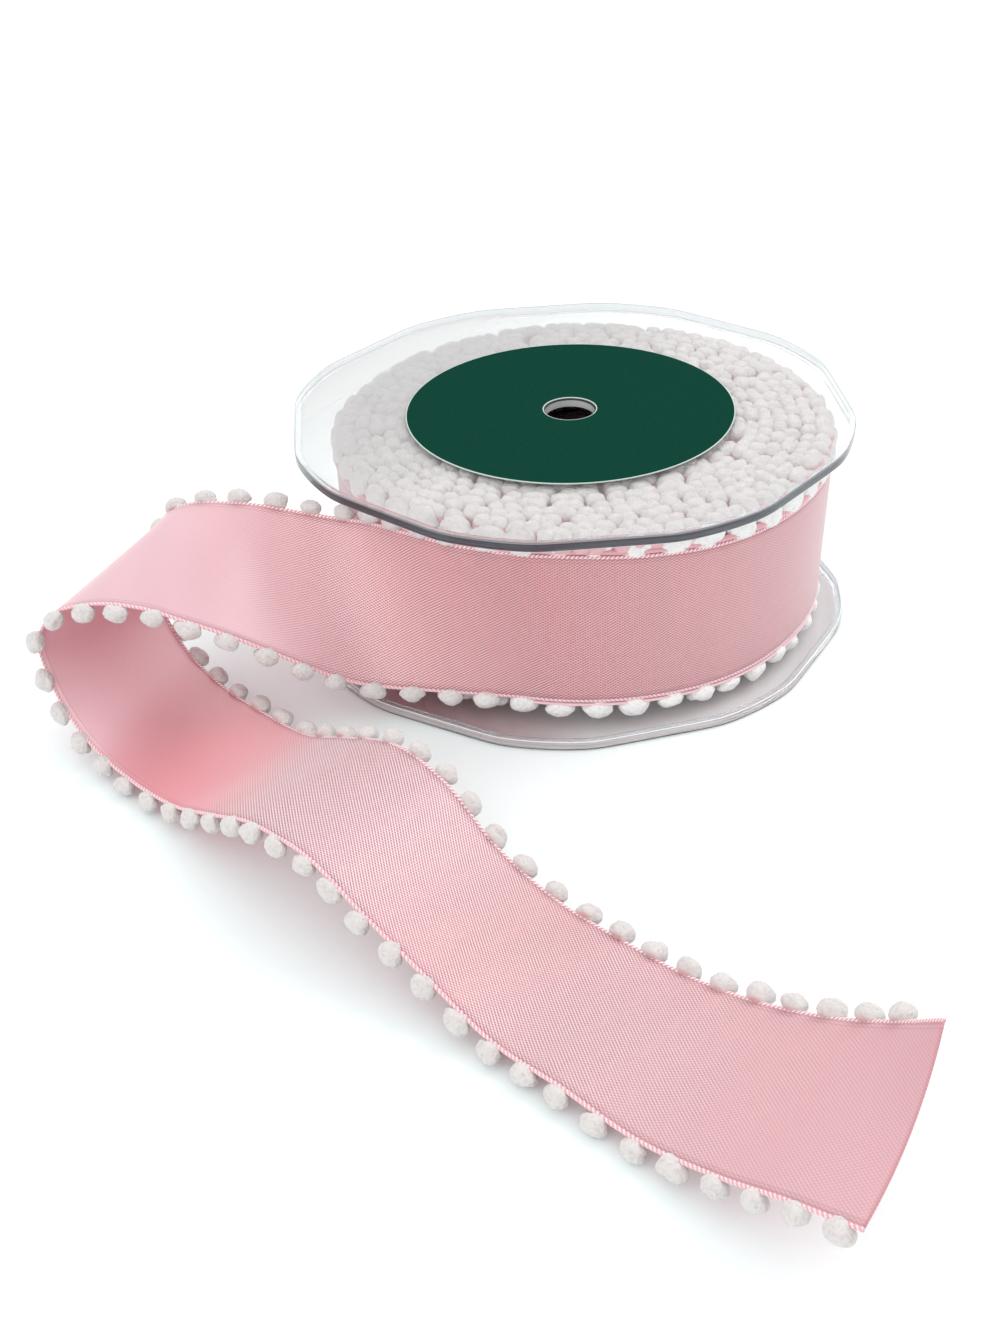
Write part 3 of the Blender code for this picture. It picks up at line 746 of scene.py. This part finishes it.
def ball_kinds(points, roughness, rng):
    """Unit balls of cut yarn: points spread evenly, drawn in and out, and wrapped in triangles."""
    kinds = []
    for _ in range(BALL_KINDS):
        k = np.arange(points) + 0.5
        height = 1 - 2 * k / points
        angle = k * math.pi * (1 + math.sqrt(5))
        ring = np.sqrt(1 - height**2)
        sphere = np.stack([ring * np.cos(angle), ring * np.sin(angle), height], axis=1)
        sphere = unit(sphere + rng.normal(0, POINTS_STRAY / math.sqrt(points), sphere.shape))
        bm = bmesh.new()
        for point in sphere:
            bm.verts.new(point)
        bmesh.ops.convex_hull(bm, input=bm.verts)
        bmesh.ops.recalc_face_normals(bm, faces=bm.faces)
        bm.verts.index_update()
        faces = np.array([[vert.index for vert in face.verts] for face in bm.faces])
        sphere = np.array([vert.co for vert in bm.verts])
        bm.free()
        lumps = unit(rng.normal(size=(LUMPS, 3)))
        lump_height = rng.normal(0, LUMP_HEIGHT, LUMPS)
        lumpy = (np.exp(LUMP_SHARPNESS * (sphere @ lumps.T - 1)) * lump_height).sum(axis=1)
        tufts = unit(rng.normal(size=(points // TUFT_POINTS, 3)))
        nearest = (sphere @ tufts.T).max(axis=1)
        tuft = 1 - np.clip(np.arccos(np.clip(nearest, -1, 1)) * math.sqrt(points) / TUFT_REACH, 0, 1)
        rough = rng.normal(0, roughness, points)
        reach = 1 + lumpy + TUFT_HEIGHT * (tuft - 0.5) + rough
        shade = SHADE_MIDDLE + SHADE_OF_TUFT * (tuft - 0.5) + rough / roughness * SHADE_OF_ROUGH
        kinds.append((sphere * reach[:, None], faces, np.clip(shade, 0, 1)))
    return kinds


def random_turns(count, rng):
    """Turning matrices in all directions."""
    q = unit(rng.normal(size=(count, 4)))
    w, x, y, z = q.T
    return np.stack([
        np.stack([1 - 2 * (y * y + z * z), 2 * (x * y - z * w), 2 * (x * z + y * w)], axis=1),
        np.stack([2 * (x * y + z * w), 1 - 2 * (x * x + z * z), 2 * (y * z - x * w)], axis=1),
        np.stack([2 * (x * z - y * w), 2 * (y * z + x * w), 1 - 2 * (x * x + y * y)], axis=1)], axis=1)


class Balls:
    """Gathers pompoms into one mesh."""

    def __init__(self):
        self.verts, self.faces, self.shades, self.count = [], [], [], 0

    def add(self, kinds, centres, frames, sizes, looseness, root, rng):
        """frames are each ball's three axes as rows, and sizes its radius along them."""
        turns = random_turns(len(centres), rng)
        picks = rng.integers(0, len(kinds), len(centres))
        for centre, axes, size, loose, turn, pick in zip(centres, frames, sizes, looseness, turns, picks):
            sphere, faces, shade = kinds[pick]
            turned = sphere @ turn.T
            self.verts.append(centre + (turned * size) @ axes)
            self.faces.append(faces + self.count)
            self.shades.append(np.stack([shade, turned[:, 1] - root, np.full(len(shade), loose)], axis=1))
            self.count += len(sphere)

    def piece(self, name, material):
        """The mesh, its balls flattened softly where they meet the webs or the table."""
        verts = np.concatenate(self.verts)
        in_reel = np.hypot(verts[:, 0], verts[:, 1]) < FLANGE_HALF_ACROSS
        floor = np.where(in_reel, WEB_INSET + WEB_THICKNESS + WEB_GAP, 0.0)
        ceiling = np.where(in_reel, REEL_TOP - WEB_INSET - WEB_THICKNESS - WEB_GAP, 1.0)
        ease = SQUASH_EASE
        verts[:, 2] = floor + ease * np.logaddexp(0, (verts[:, 2] - floor) / ease)
        verts[:, 2] = ceiling - ease * np.logaddexp(0, (ceiling - verts[:, 2]) / ease)
        made = add_piece(name, verts, np.concatenate(self.faces), [material])
        give_attribute(made, "tuft", np.concatenate(self.shades))
        return made


def edge_balls(balls, kinds, side, places, rng, rim_ball, rim_out, rim_tuck=0.0, root=LOOSE_ROOT_SHADE, wander=0.0):
    """Pompoms along an edge: pressed ones on the roll, and rounder hanging ones on the loose end."""
    at = np.asarray(places, float)
    points, out, along, normal = edge_frames(at, side)
    count = len(at)
    on_roll = np.clip(-at / RIM_FADES, 0, 1)[:, None]
    size = (on_roll * rim_ball + (1 - on_roll) * LOOSE_BALL) * (1 + rng.normal(0, SIZE_VARIES, (count, 3)))
    reach = on_roll * rim_out + (1 - on_roll) * (LOW_LOOSE_OUT if side < 0 else TOP_LOOSE_OUT)
    centres = points + out * (reach + rng.normal(0, OUT_VARIES, (count, 1)))
    centres += along * rng.normal(0, ALONG_VARIES + wander, (count, 1))
    centres -= normal * normal[:, 2:] * (1 - on_roll) * (LOW_SAG if side < 0 else 0.0)
    centres[:, :2] -= unit(points[:, :2] - ROLL_CENTRE) * on_roll * rim_tuck
    centres[:, :2] += rng.normal(0, wander / 3, (count, 2)) if wander else 0.0
    centres[:, 2] = np.maximum(centres[:, 2], size[:, 1] * LOWEST_MIDDLE)
    balls.add(kinds, centres, np.stack([along, out, normal], axis=1), size, 1 - on_roll[:, 0], root, rng)


def flange_outline():
    """Directions round a flange and how far it reaches in each, its flat sides eased into its corners."""
    direction = np.linspace(0, math.tau, FLANGE_STEPS, endpoint=False)
    side = math.tau / FLANGE_FLATS
    from_flat = (direction + side / 2) % side - side / 2
    flat = FLANGE_HALF_ACROSS / np.cos(from_flat)
    ease = CORNER_EASE
    return direction, -ease * np.log(np.exp(-flat / ease) + np.exp(-FLANGE_RADIUS / ease))


def round_corner(middle, start, end, steps=5):
    """Points of a quarter round in a profile."""
    angle = np.radians(np.linspace(start, end, steps))
    return [(middle[0] + RIM_ROUND * math.cos(a), middle[1] + RIM_ROUND * math.sin(a)) for a in angle]


def add_flange(name, rim_outer_z, inward, turn, materials):
    """A thin web with a rounded rim and a lipped bore. The web's material comes first, then the slots'."""
    web_outer, web_inner = WEB_INSET, WEB_INSET + WEB_THICKNESS
    r = RIM_ROUND
    rim = (round_corner((r, RIM_HEIGHT - r), 90, 180) + [(0.0, r + RIM_LINE)] + round_corner((r, r), 180, 270)
           + round_corner((RIM_WIDTH - r, r), 270, 360))
    # Each point is how far in from the outline, and how far in from the rim's outer face
    profile = [(RIM_WIDTH, web_inner), (RIM_WIDTH, RIM_HEIGHT)] + rim + [(RIM_WIDTH, web_outer)]
    direction, reach = flange_outline()
    direction = direction + turn
    rings = []
    for inset, depth in profile:
        rings.append(np.stack([(reach - inset) * np.cos(direction), (reach - inset) * np.sin(direction),
                               np.full_like(direction, rim_outer_z + inward * depth)], axis=1))
    lip_outside = BORE_RADIUS + BORE_LIP_WALL
    for radius, depth in ((BORE_RADIUS, web_outer), (BORE_RADIUS, BORE_LIP), (lip_outside, BORE_LIP),
                          (lip_outside, web_inner)):
        rings.append(np.stack([radius * np.cos(direction), radius * np.sin(direction),
                               np.full_like(direction, rim_outer_z + inward * depth)], axis=1))
    verts = np.concatenate(rings)
    faces = grid_faces(len(rings) + 1, len(direction), closed=True) % len(verts)
    made = add_piece(name, verts, faces, materials, sharp_angle=SHARP_ANGLE)
    fix_normals(made)
    for face in made.data.polygons:
        place = (Vector(face.center) - Vector(AXIS)).xy
        if place.length > FLANGE_HALF_ACROSS - RIM_REACH:
            outward = face.normal.xy.dot(place.normalized())
            by_outer_face = (face.center.z - rim_outer_z) * inward < r + RIM_LINE
            if outward < LOOKS_IN:
                face.material_index = RIM_BLOCK
            elif by_outer_face:
                face.material_index = RIM_SHADE_LINE_BY_OUTER_FACE
            else:
                face.material_index = RIM_ROUNDING_HIGHLIGHT if outward < LOOKS_OUT else RIM_FACE
        elif abs(face.normal.z) < LOOKS_UP and place.length < lip_outside:
            face.material_index = BORE_WALL
    return made


def fix_normals(piece):
    """Turns a closed mesh's faces outward."""
    bm = bmesh.new()
    bm.from_mesh(piece.data)
    bmesh.ops.recalc_face_normals(bm, faces=bm.faces)
    bm.to_mesh(piece.data)
    bm.free()


def add_turned(name, profile, materials, steps=128):
    """A piece turned round the reel's axis from a closed profile of (radius, height)."""
    direction = np.linspace(0, math.tau, steps, endpoint=False)
    rings = [np.stack([radius * np.cos(direction), radius * np.sin(direction), np.full(steps, z)], axis=1)
             for radius, z in profile]
    verts = np.concatenate(rings)
    faces = grid_faces(len(rings) + 1, steps, closed=True) % len(verts)
    made = add_piece(name, verts, faces, materials, sharp_angle=SHARP_ANGLE)
    fix_normals(made)
    return made


def add_hub(material):
    """Two tubes joined by a ring halfway up."""
    bottom = WEB_INSET + WEB_THICKNESS + HUB_GAP
    top = REEL_TOP - bottom
    lip = BORE_LIP + HUB_GAP
    middle = REEL_TOP / 2
    inner, outer = BORE_RADIUS + TUBE_WALL, HUB_RADIUS - TUBE_WALL
    half = TUBE_WALL / 2
    profile = [(BORE_RADIUS, lip), (inner, lip), (inner, middle - half), (outer, middle - half),
               (outer, bottom), (HUB_RADIUS, bottom), (HUB_RADIUS, top), (outer, top),
               (outer, middle + half), (inner, middle + half), (inner, REEL_TOP - lip),
               (BORE_RADIUS, REEL_TOP - lip)]
    return add_turned("reel_core", profile, [material])


def add_label(card, paper):
    """The bare round label, with its pale cut edge."""
    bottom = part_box("reel_label")[0].z
    top = bottom + LABEL_THICKNESS
    ease = LABEL_EASE
    profile = [(LABEL_HOLE, bottom), (LABEL_HOLE, top - ease), (LABEL_HOLE + ease, top),
               (LABEL_HOLE + LABEL_EDGE, top), (LABEL_RING, top), (LABEL_RADIUS - LABEL_EDGE, top),
               (LABEL_RADIUS - ease, top), (LABEL_RADIUS, top - ease), (LABEL_RADIUS, bottom)]
    made = add_turned("reel_label_card", profile, [card, paper], steps=160)
    for face in made.data.polygons:
        from_axis = (Vector(face.center) - Vector(AXIS)).xy.length
        face.material_index = int(from_axis > LABEL_RADIUS - LABEL_EDGE or from_axis < LABEL_HOLE + LABEL_EDGE
                                  or face.normal.z < LOOKS_UP)
    return made


def flange_materials():
    """The lower and upper flange's materials, in the order of add_flange's slots."""
    block = clear_block()
    lip = new_material("clear_lip", (0.62, 0.64, 0.64), 0.15, IOR=1.5, Alpha=0.85)[0]
    # Painted highlight: a white line on the rim's roundings.
    painted_highlight_line = rim_face("rim_painted_highlight_line", (0.93, 0.94, 0.95), (0.97, 0.98, 0.99), 0.15, (0.42, 0.41, 0.41))
    # Painted shade: a grey line beside the upper rim's outer face, and a dark one beside the lower rim's.
    painted_shade_line = rim_face("rim_painted_shade_line", (0.16, 0.17, 0.18), (0.30, 0.31, 0.33), 0.15, (0.42, 0.41, 0.41))
    painted_dark_line = rim_face("rim_painted_dark_line", (0.03, 0.03, 0.035), (0.10, 0.10, 0.11), 0.0, (0.50, 0.51, 0.54))
    # Painted shade: the upper web greyer toward its far left.
    upper_web = clear_plastic("upper_web", (0.955, 0.951, 0.950), (0.54, 0.54, 0.54), 0.39, UPPER_SHADE_WAY,
                              UPPER_SHADE_REACH, 1.0)
    # Painted shade: the upper rim's outer face nearly black, standing in for the dark that the clear rim
    # shows.
    upper_rim_painted_shade = rim_face("upper_rim_painted_shade", (0.015, 0.018, 0.022), (0.07, 0.08, 0.10), 0.05, (0.84, 0.82, 0.82))
    # Painted reflection of the pink roll and painted shade: the lower web pinker and more opaque toward its
    # near left.
    lower_web = clear_plastic("lower_web", (0.985, 0.98, 0.98), (0.48, 0.28, 0.30), 0.5, SHADE_WAY,
                              SHADE_REACH, 0.4)
    # Painted reflection and shade: the lower rim's outer face pinkish from the roll, with darker streaks.
    lower_rim = rim_face("lower_rim", (0.36, 0.30, 0.30), (0.80, 0.75, 0.74), 0.5, (0.88, 0.86, 0.86))
    return ([lower_web, block, lower_rim, lip, painted_dark_line, painted_highlight_line],
            [upper_web, block, upper_rim_painted_shade, lip, painted_shade_line, painted_highlight_line])


def build():
    """All pieces of the ribbon and its reel."""
    rng = np.random.default_rng(RANDOM_SEED)
    satin, rope, yarn = pink_satin(), rope_satin(), white_yarn()
    lower, upper = flange_materials()

    loose = add_cloth("ribbon_outer_turn_and_end", OUTER_START, RIBBON_END, CLOTH_STEP, CLOTH_COLUMNS, satin)
    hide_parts("ribbon_tail")
    inner = add_cloth("ribbon_inner_turns", INNER_START, OUTER_START, INNER_STEP, INNER_COLUMNS, satin)
    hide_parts("ribbon_winding")

    for edge, side in (("low", -1), ("top", 1)):
        made = add_rope(f"{edge}_edge_rope", side, OUTER_START, RIBBON_END, rope)

    fine, coarse = ball_kinds(BALL_POINTS, FINE_ROUGH, rng), ball_kinds(FIELD_BALL_POINTS, FIELD_ROUGH, rng)
    for edge, side in (("low", -1), ("top", 1)):
        balls = Balls()
        if side < 0:
            rim = (LOW_RIM_BALL, LOW_RIM_OUT, LOW_RIM_TUCK)
            places = np.arange(LOW_COUNT)
        else:
            rim = (TOP_RIM_BALL, TOP_RIM_OUT, TOP_RIM_TUCK)
            places = np.arange(TOP_COUNT) + TOP_SHIFT
        edge_balls(balls, fine, side, places, rng, *rim)
        made = balls.piece(f"loose_end_pompoms_{edge}", yarn)
        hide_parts(*[f"{edge}_edge_pompoms_{k + 1}" for k in range(9)])

        balls = Balls()
        edge_balls(balls, fine, side, np.arange(-1, OUTER_START, -1.0), rng, *rim)
        field_end = OUTER_START - (FIELD_CLEAR if side > 0 else LOW_FIELD_CLEAR)
        field_places = np.arange(INNER_START + FIELD_CLEAR, field_end, FIELD_PITCH)
        field_out, root = (TOP_FIELD_OUT, FIELD_ROOT_SHADE) if side > 0 else (LOW_FIELD_OUT, LOOSE_ROOT_SHADE)
        edge_balls(balls, coarse, side, field_places, rng, FIELD_BALL, field_out, 0.0, root, FIELD_WANDER)
        made = balls.piece("roll_pompoms_" + ("bottom" if side < 0 else "top"), yarn)
        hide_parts("winding_pompoms_" + ("bottom" if side < 0 else "top"))

    for name, node, z, inward, turn, plastic in (
            ("clear_flange_bottom", "reel_flange_bottom", 0.0, 1, BOTTOM_FLANGE_TURN, lower),
            ("clear_flange_top", "reel_flange_top", REEL_TOP, -1, TOP_FLANGE_TURN, upper)):
        made = add_flange(name, z, inward, turn, plastic)
        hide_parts(node)
    core = add_hub(new_material("clear_core", (0.88, 0.89, 0.90), 0.06, IOR=1.5, Transmission_Weight=1.0)[0])
    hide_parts("reel_hub")
    label = add_label(label_card(), new_material("label_paper", (0.50, 0.57, 0.53), 0.6)[0])
    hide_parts("reel_label")


def add_floor():
    """A plain pale floor just under the part."""
    bpy.ops.mesh.primitive_plane_add(size=FLOOR_SIZE, location=(0, 0, -FLOOR_DROP))
    floor = bpy.context.object
    floor.name = "floor"
    made, _, shader = new_material("floor_white", (0.85, 0.92, 0.92), 0.8, Specular_IOR_Level=0.1,
                                   Emission_Strength=0.05)
    shader.inputs["Emission Color"].default_value = (*WHITE, 1.0)
    floor.data.materials.append(made)


def add_light(name, place, size, power):
    """A round area light that faces the part."""
    data = bpy.data.lights.new(name, "AREA")
    data.shape = "DISK"
    data.size = size
    data.energy = power
    made = bpy.data.objects.new(name, data)
    bpy.context.scene.collection.objects.link(made)
    made.location = place
    made.rotation_euler = (Vector((0, 0, 0)) - Vector(place)).to_track_quat("-Z", "Y").to_euler()


def add_surroundings():
    """Pale surroundings that glow behind, above and before the reel, and a large soft light on the right."""
    world = bpy.data.worlds.new("studio")
    bpy.context.scene.world = world
    world.use_nodes = True
    tree = world.node_tree
    direction = tree.nodes.new("ShaderNodeTexCoord").outputs["Generated"]
    colour = ramp(tree, parts_of(tree, direction)[2], [
        (0.0, (0.55, 0.55, 0.56)), (0.2, (0.85, 0.85, 0.86)), (0.5, (0.92, 0.92, 0.92)),
        (1.0, (0.78, 0.78, 0.78))])
    strength = SKY_STRENGTH
    for way, extra, sharpness in ((GLOW_WAY, GLOW_STRENGTH, GLOW_SHARPNESS),
                                  (OVERHEAD_WAY, OVERHEAD_STRENGTH, OVERHEAD_SHARPNESS),
                                  (FRONT_WAY, FRONT_STRENGTH, FRONT_SHARPNESS)):
        toward = vector_node(tree, "DOT_PRODUCT", direction, Vector(way).normalized())
        lobe = math_node(tree, "POWER", math_node(tree, "MAXIMUM", toward, 0.0), sharpness)
        strength = math_node(tree, "ADD", math_node(tree, "MULTIPLY", lobe, extra), strength)
    background = tree.nodes["Background"]
    tree.links.new(colour, background.inputs["Color"])
    tree.links.new(strength, background.inputs["Strength"])
    add_light("softbox", SOFTBOX_PLACE, SOFTBOX_SIZE, SOFTBOX_POWER)
    bpy.context.scene.view_settings.view_transform = "Standard"


def add_camera():
    """The photo's view."""
    data = bpy.data.cameras.new("camera")
    data.lens = CAMERA_LENS
    camera = bpy.data.objects.new("camera", data)
    bpy.context.scene.collection.objects.link(camera)
    turn = Matrix.Rotation(CAMERA_TILT, 4, "X") @ Matrix.Rotation(CAMERA_ROLL, 4, "Z")
    camera.matrix_world = Matrix.Translation(CAMERA_PLACE + AXIS) @ turn
    bpy.context.scene.camera = camera


build()
add_floor()
add_surroundings()
add_camera()
